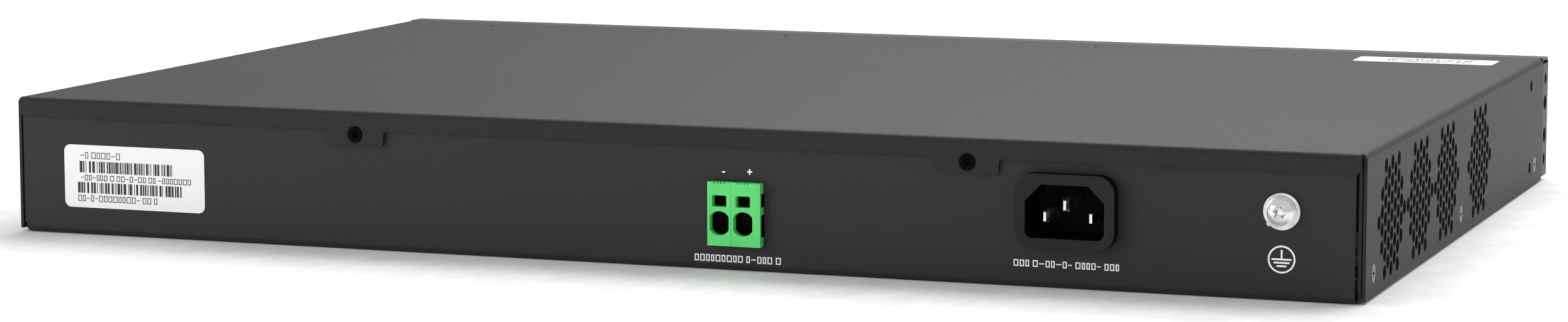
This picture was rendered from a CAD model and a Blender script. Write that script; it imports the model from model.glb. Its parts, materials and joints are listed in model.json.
"""Looks of a one-unit rack switch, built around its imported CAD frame.
Metres; +Y is the rear, +Z up."""
import json
import math

import bmesh
import bpy
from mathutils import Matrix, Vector


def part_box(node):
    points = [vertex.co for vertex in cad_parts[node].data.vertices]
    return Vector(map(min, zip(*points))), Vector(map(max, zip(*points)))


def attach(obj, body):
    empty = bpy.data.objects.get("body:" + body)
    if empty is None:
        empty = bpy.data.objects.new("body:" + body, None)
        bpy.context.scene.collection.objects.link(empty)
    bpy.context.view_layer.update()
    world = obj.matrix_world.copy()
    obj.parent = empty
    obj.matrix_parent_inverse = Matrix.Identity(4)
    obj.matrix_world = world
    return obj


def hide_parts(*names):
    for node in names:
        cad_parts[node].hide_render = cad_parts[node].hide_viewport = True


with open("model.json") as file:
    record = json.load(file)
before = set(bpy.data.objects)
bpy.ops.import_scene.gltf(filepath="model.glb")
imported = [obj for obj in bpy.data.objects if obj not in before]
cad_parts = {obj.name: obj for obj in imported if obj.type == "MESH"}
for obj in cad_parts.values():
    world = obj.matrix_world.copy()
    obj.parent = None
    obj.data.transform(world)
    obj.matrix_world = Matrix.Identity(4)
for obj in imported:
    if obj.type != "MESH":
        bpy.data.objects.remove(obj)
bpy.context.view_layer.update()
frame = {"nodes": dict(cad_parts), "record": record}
NODES = frame["nodes"]

MM = 0.001
REAR_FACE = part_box("rear_label")[0].y      # outer face of the rear panel
SAME_SPOT = 0.001 * MM                     # vertices closer than this are one
EDGE_ANGLE = math.radians(40)              # an edge that turns more than this is sharp


# ---------------------------------------------------------------- procedural materials

STRIPE_PITCH = 0.314        # metres between a wave texture's stripes at scale 1


def grey(value):
    return (value, value, value)


def shade(colour, amount):
    return tuple(min(1, c * amount) for c in colour)


def new_material(name, roughness, metallic=0.0, ior=1.5, **sockets):
    """A material with one Principled shader; the even values sit on its own sockets."""
    made = bpy.data.materials.new(name)
    made.use_nodes = True
    shader = made.node_tree.nodes["Principled BSDF"]
    shader.inputs["Roughness"].default_value = roughness
    shader.inputs["Metallic"].default_value = metallic
    shader.inputs["IOR"].default_value = ior
    for key, value in sockets.items():
        shader.inputs[key.replace("_", " ")].default_value = value
    return made, shader


def feed(made, socket, value):
    """Sets a socket to a value, or joins it to another node's output."""
    if isinstance(value, bpy.types.NodeSocket):
        made.node_tree.links.new(value, socket)
    else:
        socket.default_value = value


def add(made, kind, **inputs):
    """A node of that kind, with its named inputs fed."""
    node = made.node_tree.nodes.new(kind)
    for key, value in inputs.items():
        feed(made, node.inputs[key.replace("_", " ")], value)
    return node


def place(made, stretch=(1, 1, 1)):
    """Object coordinates, in metres, stretched along the axes."""
    coords = made.node_tree.nodes.new("ShaderNodeTexCoord").outputs["Object"]
    return add(made, "ShaderNodeMapping", Vector=coords, Scale=stretch).outputs["Vector"]


def noise(made, size, detail=2.0, stretch=(1, 1, 1)):
    """Noise whose spots are about that many metres across."""
    node = add(made, "ShaderNodeTexNoise", Vector=place(made, stretch),
               Scale=1 / size, Detail=detail)
    return node.outputs["Fac"]


def bands(made, pitch, axis):
    """Stripes across that axis, that many metres apart."""
    node = add(made, "ShaderNodeTexWave", Vector=place(made), Scale=STRIPE_PITCH / pitch)
    node.bands_direction = axis
    return node.outputs["Fac"]


def between(made, factor, low, high, start=0.35, end=0.65):
    """Runs from low to high as the factor goes from start to end."""
    node = add(made, "ShaderNodeMapRange", Value=factor, From_Min=start, From_Max=end,
               To_Min=low, To_Max=high)
    return node.outputs["Result"]


def ramp(made, factor, start=0.35, end=0.65):
    """0 at the factor's start, 1 at its end."""
    return between(made, factor, 0, 1, start, end)


def both(made, first, second, operation="MULTIPLY"):
    """Two factors put together."""
    node = made.node_tree.nodes.new("ShaderNodeMath")
    node.operation = operation
    feed(made, node.inputs[0], first)
    feed(made, node.inputs[1], second)
    return node.outputs[0]


def either(made, choice, first, second):
    """The first factor where the choice is 0, the second where it is 1."""
    node = made.node_tree.nodes.new("ShaderNodeMix")
    for socket, value in ((0, choice), (2, first), (3, second)):
        feed(made, node.inputs[socket], value)
    return node.outputs[0]


def blend(made, factor, first, second):
    """One colour turning into the other by the factor."""
    node = made.node_tree.nodes.new("ShaderNodeMix")
    node.data_type = "RGBA"
    feed(made, node.inputs["Factor"], factor)
    for socket, value in ((6, first), (7, second)):
        feed(made, node.inputs[socket], (*value, 1) if isinstance(value, tuple) else value)
    return node.outputs[2]


def finish(made, shader, tone, height, depth, roughness=None):
    """Joins a material's colour, its relief that many metres deep, and its roughness."""
    relief = add(made, "ShaderNodeBump", Height=height, Distance=depth)
    feed(made, shader.inputs["Base Color"], tone)
    feed(made, shader.inputs["Normal"], relief.outputs["Normal"])
    if roughness is not None:
        feed(made, shader.inputs["Roughness"], roughness)
    return made


def coat(name, colour, roughness=0.5, ior=1.45, speck=1.35):
    """Powder coat: an orange-peel skin with fine pits, pale specks and a faint drift of tone."""
    made, shader = new_material(name, roughness, ior=ior)
    peel = noise(made, 1.1 * MM)
    pits = noise(made, 0.32 * MM, 3)
    drift = noise(made, 60 * MM, 3)
    tone = blend(made, ramp(made, drift), shade(colour, 0.93), shade(colour, 1.07))
    tone = blend(made, ramp(made, pits, 0.42, 0.5), shade(colour, 0.86), tone)
    tone = blend(made, ramp(made, pits, 0.6, 0.7), tone, shade(colour, speck))
    rough = between(made, pits, roughness + 0.08, roughness - 0.06)
    return finish(made, shader, tone, both(made, peel, pits, "ADD"), 0.06 * MM, rough)


def metal(name, colour, roughness, grain=0.3, stretch=(1, 1, 1), depth=0.004, dull=0.7):
    """Bare or plated metal: fine marks of the tool, grain millimetres across and depth deep,
    and duller patches where it has been handled."""
    made, shader = new_material(name, roughness, metallic=1)
    marks = noise(made, grain * MM, 3, stretch)
    patch = noise(made, 4 * MM, 4)
    tone = blend(made, ramp(made, patch), shade(colour, dull), colour)
    wear = both(made, marks, patch, "ADD")
    rough = between(made, wear, roughness + 0.12, roughness - 0.04, 0.8, 1.2)
    return finish(made, shader, tone, marks, depth * MM, rough)


def plastic(name, colour, roughness, grain=0.25, depth=0.012, ior=1.5, **sockets):
    """Moulded plastic: a fine spark-eroded skin, grain millimetres across and depth deep,
    and the faint streaks of its flow into the mould."""
    made, shader = new_material(name, roughness, ior=ior, **sockets)
    skin = noise(made, grain * MM, 3)
    flow = noise(made, 6 * MM, 3, (1, 0.35, 1))
    tone = blend(made, ramp(made, flow), shade(colour, 0.97), shade(colour, 1.03))
    tone = blend(made, ramp(made, skin, 0.2, 0.5), shade(colour, 0.9), tone)
    rough = between(made, skin, roughness + 0.07, roughness - 0.07)
    return finish(made, shader, tone, skin, depth * MM, rough)


def board(name, mask, track, roughness):
    """A circuit board: runs of track under the lacquer, along it here and across it there."""
    made, shader = new_material(name, roughness)
    along = ramp(made, bands(made, 1.1 * MM, "X"), 0.62, 0.7)
    across = ramp(made, bands(made, 1.3 * MM, "Y"), 0.62, 0.7)
    area = ramp(made, noise(made, 11 * MM, 1), 0.49, 0.51)
    routed = ramp(made, noise(made, 7 * MM), 0.45, 0.5)
    runs = both(made, either(made, area, along, across), routed)
    return finish(made, shader, blend(made, runs, mask, track), runs, 0.03 * MM)


def wound(name, colour, pitch, axis, roughness=0.3):
    """Enamelled wire or tape, turn beside turn, pitch millimetres apart."""
    made, shader = new_material(name, roughness, Coat_Weight=0.6)
    turns = bands(made, pitch * MM, axis)
    tone = blend(made, ramp(made, turns, 0.1, 0.6), shade(colour, 0.25), colour)
    return finish(made, shader, tone, turns, pitch * 0.4 * MM)


def ink(name, colour):
    """Screen-printed ink: slightly uneven in cover."""
    made, shader = new_material(name, 0.55)
    cover = noise(made, 0.3 * MM)
    tone = blend(made, ramp(made, cover), shade(colour, 0.86), colour)
    return finish(made, shader, tone, cover, 0.004 * MM)


def label_stock(name, colour):
    """Coated label film with a soft tooth."""
    made, shader = new_material(name, 0.42)
    tooth = noise(made, 0.4 * MM)
    tone = blend(made, ramp(made, tooth), shade(colour, 0.975), colour)
    return finish(made, shader, tone, tooth, 0.006 * MM)


ALONG_Y = (1, 0.1, 1)       # marks drawn out along a blade
MATERIALS = {
    "cover_paint": coat("cover_paint", (0.0205, 0.020, 0.0205), 0.54, ior=1.31),
    "pan_paint": coat("pan_paint", grey(0.0165), 0.52, ior=1.4),
    "panel_paint": coat("panel_paint", grey(0.022)),
    "plain_screw": metal("plain_screw", grey(0.26), 0.36),
    "painted_screw": coat("painted_screw", grey(0.02), 0.42),
    "black_screw": plastic("black_screw", grey(0.0015), 0.3, depth=0.004, ior=1.12),
    "earth_plate": metal("earth_plate", (0.9, 0.9, 0.89), 0.12, dull=0.85),
    "zinc": metal("zinc", (0.78, 0.78, 0.76), 0.22),
    "inlet_plastic": plastic("inlet_plastic", grey(0.008), 0.48, ior=1.34),
    "blade_metal": metal("blade_metal", (0.88, 0.87, 0.84), 0.2, 0.6, ALONG_Y, dull=0.94),
    "terminal_green": plastic("terminal_green", (0.11, 0.76, 0.19), 0.4, 0.5),
    "label_white": label_stock("label_white", (0.97, 0.97, 0.965)),
    "board_green": board("board_green", (0.008, 0.10, 0.035), (0.03, 0.22, 0.09), 0.28),
    "board_tan": board("board_tan", (0.42, 0.29, 0.12), (0.55, 0.40, 0.2), 0.45),
    "jack_plastic": plastic("jack_plastic", grey(0.014), 0.4),
    "shield_metal": metal("shield_metal", (0.66, 0.66, 0.64), 0.3, 0.8, (1, 0.08, 1), dull=0.92),
    "gold_contact": metal("gold_contact", (0.95, 0.68, 0.28), 0.2, 0.4, dull=0.85),
    "lens": plastic("lens", (0.86, 0.88, 0.86), 0.12, ior=1.49, Transmission_Weight=0.65),
    "led_body": plastic("led_body", (0.72, 0.85, 0.6), 0.3),
    "chip_black": plastic("chip_black", (0.016, 0.016, 0.018), 0.55, 0.2, 0.02),
    "heatsink_metal": metal("heatsink_metal", (0.42, 0.42, 0.44), 0.36, 0.7, (1, 0.06, 1), 0.01),
    "capacitor_sleeve": plastic("capacitor_sleeve", (0.02, 0.022, 0.06), 0.2, 1.2, 0.006),
    "copper_winding": wound("copper_winding", (0.55, 0.19, 0.06), 0.9, "Y"),
    "ferrite": plastic("ferrite", (0.045, 0.045, 0.048), 0.62, 0.5, 0.03),
    "transformer_tape": wound("transformer_tape", (0.72, 0.55, 0.08), 4.2, "Z", 0.35),
    "connector_white": plastic("connector_white", (0.72, 0.7, 0.62), 0.45),
    "sheet_plastic": plastic("sheet_plastic", (0.28, 0.26, 0.18), 0.3, 1.0, 0.01),
    "fuse_body": plastic("fuse_body", (0.6, 0.55, 0.45), 0.25, 0.8),
    "fan_plastic": plastic("fan_plastic", grey(0.012), 0.34),
    "wire_brown": plastic("wire_brown", (0.12, 0.05, 0.02), 0.38, 0.7),
    "wire_red": plastic("wire_red", (0.45, 0.02, 0.02), 0.38, 0.7),
    "wire_black": plastic("wire_black", grey(0.016), 0.38, 0.7),
}
WHITE_INK = ink("white_ink", (1.0, 1.0, 0.99))
BLACK_INK = ink("black_ink", (0.025, 0.025, 0.027))
GREY_INK = ink("grey_ink", grey(0.16))
DEEP_BLACK = plastic("deep_black", grey(0.0025), 0.4, ior=1.12)
DARK_GREEN = plastic("dark_green", (0.005, 0.007, 0.005), 0.5, ior=1.2)
FLOOR = plastic("floor", grey(0.93), 0.85, 20, 0.01, ior=1.2)


def dress():
    """Every CAD node takes the material that the record names for it."""
    for row in frame["record"]["subparts"]:
        mesh = NODES[row["node"]].data
        mesh.materials.clear()
        mesh.materials.append(MATERIALS[row["material_slot"]])


# ---------------------------------------------------------------- softened edges

def soften(width, *shapes):
    """Rounds those objects' sharp edges by that many metres, as modifiers; a CAD mesh stays
    as it is."""
    for shape in shapes:
        weld = shape.modifiers.new("weld", "WELD")
        weld.merge_threshold = SAME_SPOT
        round_over = shape.modifiers.new("round_over", "BEVEL")
        round_over.width = width
        round_over.segments = 2
        round_over.limit_method = "ANGLE"
        round_over.angle_limit = EDGE_ANGLE
        round_over.use_clamp_overlap = True


# ---------------------------------------------------------------- two-tone mouldings

def finished(name, made, materials, body):
    """A finished bmesh as one piece that rides on that body, smooth but for its sharp edges."""
    mesh = bpy.data.meshes.new(name)
    made.to_mesh(mesh)
    made.free()
    for material in materials:
        mesh.materials.append(material)
    mesh.shade_smooth()
    mesh.set_sharp_from_angle(angle=EDGE_ANGLE)
    piece = bpy.data.objects.new(name, mesh)
    bpy.context.scene.collection.objects.link(piece)
    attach(piece, body)
    return piece


def welded(node):
    """A CAD node's shape as a bmesh, with its doubled vertices joined."""
    made = bmesh.new()
    made.from_mesh(NODES[node].data)
    bmesh.ops.remove_doubles(made, verts=made.verts, dist=SAME_SPOT)
    return made


def two_tone(node, name, made, is_second, materials, body):
    """Stands in for the CAD node with its own shape, and gives a second finish to the faces
    whose middles is_second() picks."""
    for face in made.faces:
        face.material_index = int(is_second(face.calc_center_median()))
    piece = finished(name, made, materials, body)
    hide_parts(node)
    return piece


def inlet():
    """The mains inlet: a satin face, and blacker flanks and cavity that hold no light."""
    behind_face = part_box("inlet_body")[1].y - 0.05 * MM
    piece = two_tone("inlet_body", "mains_inlet", welded("inlet_body"),
                     lambda c: c.y < behind_face, (MATERIALS["inlet_plastic"], DEEP_BLACK),
                     "chassis")
    soften(0.2 * MM, piece)


def plug():
    """The DC plug: its entries and release slots are green only near the face, and its flank
    pockets are dark. A cut splits the entries' walls where their finish changes."""
    low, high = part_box("dc_plug")
    skin = 0.5 * MM                             # kept green on every outer wall
    deep_y = high.y - 2.5 * MM                  # the entries are dark behind this
    pocket_mouth, pocket_floor = low.x + 0.1 * MM, low.x + 1.6 * MM
    pocket_end = high.y - 0.8 * MM

    def is_dark(c):
        under_skin = low.y + skin < c.y and low.z + skin < c.z < high.z - skin
        in_entry = low.x + skin < c.x < high.x - skin and c.y < deep_y
        in_pocket = pocket_mouth < c.x < pocket_floor and c.y < pocket_end
        return under_skin and (in_entry or in_pocket)

    made = welded("dc_plug")
    everything = made.verts[:] + made.edges[:] + made.faces[:]
    bmesh.ops.bisect_plane(made, geom=everything, plane_co=(0, deep_y, 0), plane_no=(0, 1, 0))
    piece = two_tone("dc_plug", "supply_plug", made, is_dark,
                     (MATERIALS["terminal_green"], DARK_GREEN), "dc_plug")
    soften(0.16 * MM, piece)


# ---------------------------------------------------------------- cross-recessed screws

CROWN_POWER = 2.4           # how flat the middle of a crowned head is
RECESS_EDGE = 0.16 * MM     # how softly a recess's wall meets the head
RECESS_FLAT = 0.25          # share of a wing's length before its floor starts to rise
RECESS_HUB = 1.35           # radius of the recess's hub, in half widths of a wing


def ease(value, start, end):
    """A smooth rise from 0 at the start to 1 at the end."""
    t = min(1, max(0, (value - start) / (end - start)))
    return t * t * (3 - 2 * t)


def recess_depth(a, b, half_span, half_wing, depth):
    """How deep a cross recess is at a point a and b from the screw's axis; its wings slope up
    to their tips."""
    deepest = 0
    for along, across in ((abs(a), abs(b)), (abs(b), abs(a))):
        wall = 1 - ease(across, half_wing - RECESS_EDGE / 2, half_wing + RECESS_EDGE / 2)
        run = 1 - ease(along, half_span * RECESS_FLAT, half_span)
        deepest = max(deepest, wall * run)
    hub_r = half_wing * RECESS_HUB
    hub = 1 - ease(math.hypot(a, b), hub_r, hub_r + RECESS_EDGE)
    return depth * max(deepest, hub)


def cross_screw(made, centre, head, profile, recess, twist, steps=96, rings=26):
    """One screw in the bmesh, its head out of the rear panel. centre is the middle of the head's
    rim, head its (radius, crown), profile each (radius, distance below the rim) on the way down
    to the tip, and recess (half span, half width of a wing, depth)."""
    radius, crown = head
    turns = [math.tau * i / steps for i in range(steps)]

    def vert(r, turn, high):
        return made.verts.new(centre + Vector((r * math.cos(turn), high, r * math.sin(turn))))

    loops = []
    for k in range(1, rings + 1):
        r = radius * k / rings
        dome = crown * (1 - (r / radius) ** CROWN_POWER)
        loops.append([vert(r, turn, dome - recess_depth(r * math.cos(turn - twist),
                                                        r * math.sin(turn - twist), *recess))
                      for turn in turns])
    loops += [[vert(r, turn, -drop) for turn in turns] for r, drop in profile]
    hub = vert(0, 0, crown - recess[2])
    tip = vert(0, 0, -profile[-1][1])
    for i in range(steps):
        j = (i + 1) % steps
        made.faces.new((hub, loops[0][j], loops[0][i]))
        made.faces.new((tip, loops[-1][i], loops[-1][j]))
        for inner, outer in zip(loops, loops[1:]):
            made.faces.new((inner[i], inner[j], outer[j], outer[i]))


def islands(node):
    """(lowest, highest corner) of each separate solid in a CAD node, from -X to +X."""
    made = welded(node)
    left, found = set(made.verts), []
    while left:
        seen, front = set(), [next(iter(left))]
        while front:
            vert = front.pop()
            if vert not in seen:
                seen.add(vert)
                front.extend(edge.other_vert(vert) for edge in vert.link_edges)
        left -= seen
        spots = [vert.co.copy() for vert in seen]
        found.append(tuple(Vector([pick(spot[k] for spot in spots) for k in range(3)])
                           for pick in (min, max)))
    made.free()
    return sorted(found, key=lambda pair: pair[0].x)


def middle(low, high):
    return (low + high) / 2


def tab_screws():
    """The two black screws in the cover's rear tabs, their heads set a little below the lip."""
    head_r, shank_r, crown, cone = 2.52 * MM, 1.42 * MM, 0.12 * MM, 1.05 * MM
    recess = (1.55 * MM, 0.44 * MM, 1.0 * MM)
    made = bmesh.new()
    for low, high in islands("cover_tab_screws"):
        centre = middle(low, high)
        rim = Vector((centre.x, high.y - crown, centre.z))
        length = high.y - low.y - 0.15 * MM
        profile = ((head_r, crown), (shank_r, cone), (shank_r, length))
        cross_screw(made, rim, (head_r, crown), profile, recess, math.radians(22))
    bmesh.ops.recalc_face_normals(made, faces=made.faces)
    piece = finished("tab_screws", made, (MATERIALS["black_screw"],), "chassis")
    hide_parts("cover_tab_screws")


def earth_screw():
    """The bright pan-head earth screw, its underside just off the washers."""
    shank_r, crown = 1.95 * MM, 1.35 * MM
    recess = (2.25 * MM, 0.62 * MM, 1.9 * MM)
    low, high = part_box("ground_screw")
    centre = middle(low, high)
    head_r = (high.x - low.x) / 2
    rim = Vector((centre.x, high.y - crown, centre.z))
    under = rim.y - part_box("ground_washers")[1].y - 0.05 * MM
    profile = ((head_r, under), (shank_r, under), (shank_r, rim.y - low.y))
    made = bmesh.new()
    cross_screw(made, rim, (head_r, crown), profile, recess, math.radians(32), 120, 32)
    bmesh.ops.recalc_face_normals(made, faces=made.faces)
    piece = finished("earth_screw", made, (MATERIALS["earth_plate"],), "ground_screw")
    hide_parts("ground_screw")


# ---------------------------------------------------------------- printed marks

PRINT_PROUD = 0.03 * MM     # ink above its surface
PRINT_SUNK = 0.01 * MM      # and keyed into it
LABEL_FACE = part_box("rear_label")[1].y
TOP_LABEL_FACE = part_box("top_label")[1].z

# A row of print: shares of its height, and how often each comes up
BOX_WIDTH, BOX_SPREAD = 0.5, 0.3        # narrowest box, and how much wider chance makes it
NARROW_GAP, WIDE_GAP = 0.2, 0.55
ROW_END = 0.6                           # no box starts nearer the row's end than this
DASHES, NARROW_GAPS = 0.16, 0.85

# A stripe pattern, in modules
MODULE = 0.24 * MM
WIDEST_STRIPE, STRIPE_BIAS = 4, 1.6
WIDEST_GAP, GAP_BIAS = 3.2, 1.8


def on_rear(u, v, w):
    """A point u across and v up the rear panel, w off it."""
    return (u, REAR_FACE + w, v)


def on_rear_label(u, v, w):
    return (u, LABEL_FACE + w, v)


def on_top_label(u, v, w):
    return (u, v, TOP_LABEL_FACE + w)


def slab(made, outline, put):
    """A patch of ink with that outline."""
    low = [made.verts.new(put(u, v, -PRINT_SUNK)) for u, v in outline]
    high = [made.verts.new(put(u, v, PRINT_PROUD)) for u, v in outline]
    made.faces.new(low[::-1])
    made.faces.new(high)
    for i in range(len(outline)):
        j = (i + 1) % len(outline)
        made.faces.new((low[i], low[j], high[j], high[i]))


def bar(made, u0, u1, v0, v1, put):
    slab(made, ((u0, v0), (u1, v0), (u1, v1), (u0, v1)), put)


def hoop(made, centre, radius, line, put, steps=64):
    """A printed ring."""
    outside, inside = radius + line / 2, radius - line / 2
    section = ((outside, -PRINT_SUNK), (outside, PRINT_PROUD),
               (inside, PRINT_PROUD), (inside, -PRINT_SUNK))
    turns = [math.tau * k / steps for k in range(steps)]
    rings = [[made.verts.new(put(centre[0] + r * math.cos(a), centre[1] + r * math.sin(a), w))
              for r, w in section] for a in turns]
    for k in range(steps):
        here, there = rings[k], rings[(k + 1) % steps]
        for i in range(4):
            j = (i + 1) % 4
            made.faces.new((here[i], here[j], there[j], there[i]))


def capsule(made, u0, u1, v, line, put):
    """A level stroke with round ends."""
    r = line / 2
    outline = []
    for u, start in ((u1 - r, -math.pi / 2), (u0 + r, math.pi / 2)):
        for turn in (start + k * math.pi / 6 for k in range(7)):
            outline.append((u + r * math.cos(turn), v + r * math.sin(turn)))
    slab(made, outline, put)


def chance(seed, k):
    """An even spread of values from 0 to 1, the same every run."""
    value = math.sin(seed * 12.9898 + k * 78.233) * 43758.5453
    return value - math.floor(value)


def small_print(made, u0, u1, v0, v1, put, seed, line=0.24 * MM):
    """A row of empty boxes and dashes, in strokes that wide, where the real thing has a line
    of text."""
    high = v1 - v0
    u, k = u0, 0
    while u < u1 - high * ROW_END:
        wide = high * (BOX_WIDTH + BOX_SPREAD * chance(seed, k))
        if chance(seed + 7, k) < DASHES:
            dash_v = (v0 + v1 - line) / 2
            bar(made, u, u + wide, dash_v, dash_v + line, put)
        else:
            bar(made, u, u + line, v0, v1, put)
            bar(made, u + wide - line, u + wide, v0, v1, put)
            for v in (v0, v1 - line):
                bar(made, u + line, u + wide - line, v, v + line, put)
        u += wide + high * (NARROW_GAP if chance(seed + 9, k) < NARROW_GAPS else WIDE_GAP)
        k += 1


def bar_pattern(made, u0, u1, v0, v1, put, seed):
    """Upright stripes of one to four modules; they carry no code."""
    u, k = u0, 0
    while u < u1 - WIDEST_STRIPE * MODULE:
        wide = MODULE * (1 + math.floor(WIDEST_STRIPE * chance(seed, k) ** STRIPE_BIAS))
        bar(made, u, u + wide, v0, v1, put)
        u += wide + MODULE * (1 + math.floor(WIDEST_GAP * chance(seed + 3, k) ** GAP_BIAS))
        k += 1


def printed(name, made, material):
    """The finished ink as one piece."""
    bmesh.ops.recalc_face_normals(made, faces=made.faces)
    finished(name, made, (material,), "chassis")


def pole_marks(made):
    """The minus and the plus above the DC plug, and a row of plain boxes below it."""
    line = 0.45 * MM
    pole_off = 4.2 * MM
    minus_half, plus_half = 0.55 * MM, 0.85 * MM
    low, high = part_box("dc_plug")
    plug_x = (low.x + high.x) / 2
    minus_x, plus_x = plug_x + pole_off, plug_x - pole_off
    minus_z, plus_z = high.z + 2.85 * MM, high.z + 3.2 * MM
    capsule(made, minus_x - minus_half, minus_x + minus_half, minus_z, line, on_rear)
    capsule(made, plus_x - plus_half, plus_x + plus_half, plus_z, line, on_rear)
    for side in (-1, 1):
        ends = sorted((plus_z + side * line / 2, plus_z + side * plus_half))
        bar(made, plus_x - line / 2, plus_x + line / 2, *ends, on_rear)
    small_print(made, plug_x - 14.2 * MM, plug_x + 14 * MM, 2.4 * MM, 4.5 * MM,
                on_rear, 1, 0.34 * MM)


def inlet_marks(made):
    """A row of plain boxes below the mains inlet."""
    low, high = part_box("inlet_body")
    inlet_x = (low.x + high.x) / 2
    small_print(made, inlet_x - 15.6 * MM, inlet_x + 16.6 * MM, 6.0 * MM, 8.0 * MM,
                on_rear, 2, 0.34 * MM)


def earth_mark(made):
    """The protective earth symbol: a stem and three shortening bars in a ring."""
    line, ring_r, drop = 0.52 * MM, 3.8 * MM, 14.0 * MM
    stem_top, bar_pitch = 2.8 * MM, 0.98 * MM
    centre = middle(*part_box("ground_screw"))
    x, z = centre.x, centre.z - drop
    hoop(made, (x, z), ring_r, line, on_rear)
    bar(made, x - line / 2, x + line / 2, z + line / 2, z + stem_top, on_rear)
    for k, half in enumerate((3.0 * MM, 2.4 * MM, 1.5 * MM)):
        capsule(made, x - half, x + half, z - k * bar_pitch, line, on_rear)


def rear_marks():
    """The white marks on the rear panel."""
    made = bmesh.new()
    pole_marks(made)
    inlet_marks(made)
    earth_mark(made)
    printed("rear_marks", made, WHITE_INK)


# The rating label's rows: what, its seed, and millimetres from the label's left and top edges
LABEL_ROWS = (
    (small_print, 3, (5.1, 20.2), (2.3, 4.4)),
    (bar_pattern, 4, (4.8, 38.9), (5.2, 8.9)),
    (small_print, 5, (4.8, 45.6), (9.6, 11.4)),
    (bar_pattern, 6, (4.5, 42.2), (12.0, 15.5)),
    (small_print, 7, (4.8, 33.4), (16.2, 18.2)),
)


def rear_label_print():
    """The rating label: two stripe patterns between three lines of plain boxes."""
    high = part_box("rear_label")[1]
    made = bmesh.new()
    for draw, seed, (near, far), (upper, lower) in LABEL_ROWS:
        edges = (high.x - far * MM, high.x - near * MM, high.z - lower * MM, high.z - upper * MM)
        draw(made, *edges, on_rear_label, seed)
    printed("rear_label_print", made, BLACK_INK)


def top_label_print():
    """Four pale lines of plain boxes on the label near the front of the cover."""
    low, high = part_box("top_label")
    first, pitch, tall, line = 2.8, 3.0, 1.9, 0.55          # millimetres
    made = bmesh.new()
    for k in range(4):
        v = low.y + (first + pitch * k) * MM
        short = 6 * MM * chance(8, k)
        small_print(made, low.x + 5 * MM + short, high.x - 10 * MM, v, v + tall * MM,
                    on_top_label, 10 + k, line * MM)
    printed("top_label_print", made, GREY_INK)


# ---------------------------------------------------------------- camera, floor and light

VIEW_TURN = math.radians(20.22)      # how far the camera stands round from straight behind
VIEW_TILT = math.radians(7.12)       # how far it looks down
VIEW_DISTANCE = 1.2134               # from the point on the rear panel that it looks at
VIEW_LENS = 92.91
VIEW_POINT = Vector((-0.0431, REAR_FACE, 0.0340))

WORLD_LIGHT = 0.62
LIGHTS = (                           # name, place, aim, size, watts
    ("overhead", (-0.3, -0.95, 1.4), (-0.1, -0.2, 0), (2.2, 1.4), 36),
    ("left_fill", (1.4, 1.3, 0.5), (0.1, 0.15, 0), (1.0, 0.8), 9),
)
FLOOR_HALF = 30                      # out to where the camera sees no edge
FLOOR_DROP = 0.2 * MM


def stand(made, spot, facing):
    """Puts a camera or a lamp in the scene, at that spot and looking that way."""
    bpy.context.scene.collection.objects.link(made)
    made.location = spot
    made.rotation_mode = "QUATERNION"
    made.rotation_quaternion = facing.to_track_quat("-Z", "Y")


def camera():
    data = bpy.data.cameras.new("camera")
    data.lens = VIEW_LENS
    made = bpy.data.objects.new("camera", data)
    level = math.cos(VIEW_TILT)
    back = Vector((-math.sin(VIEW_TURN) * level, math.cos(VIEW_TURN) * level,
                   math.sin(VIEW_TILT)))
    stand(made, VIEW_POINT + back * VIEW_DISTANCE, -back)
    bpy.context.scene.camera = made


def softbox(name, spot, aim, size, power):
    data = bpy.data.lights.new(name, "AREA")
    data.shape = "RECTANGLE"
    data.size, data.size_y = size
    data.energy = power
    stand(bpy.data.objects.new(name, data), spot, Vector(aim) - Vector(spot))


def studio():
    """A pale floor out to the horizon, white surroundings and two soft lights."""
    mesh = bpy.data.meshes.new("floor")
    made = bmesh.new()
    bmesh.ops.create_grid(made, x_segments=1, y_segments=1, size=FLOOR_HALF)
    made.to_mesh(mesh)
    made.free()
    mesh.materials.append(FLOOR)
    floor = bpy.data.objects.new("floor", mesh)
    bpy.context.scene.collection.objects.link(floor)
    floor.location.z = -FLOOR_DROP
    world = bpy.data.worlds.new("studio")
    bpy.context.scene.world = world
    world.use_nodes = True
    sky = world.node_tree.nodes["Background"]
    sky.inputs["Color"].default_value = (1, 1, 1, 1)
    sky.inputs["Strength"].default_value = WORLD_LIGHT
    for lamp in LIGHTS:
        softbox(*lamp)


dress()
soften(0.1 * MM, NODES["inlet_pins"], NODES["dc_header"], NODES["ground_washers"])
inlet()
plug()
tab_screws()
earth_screw()
rear_marks()
rear_label_print()
top_label_print()
camera()
studio()
bpy.context.scene.view_settings.view_transform = "Standard"
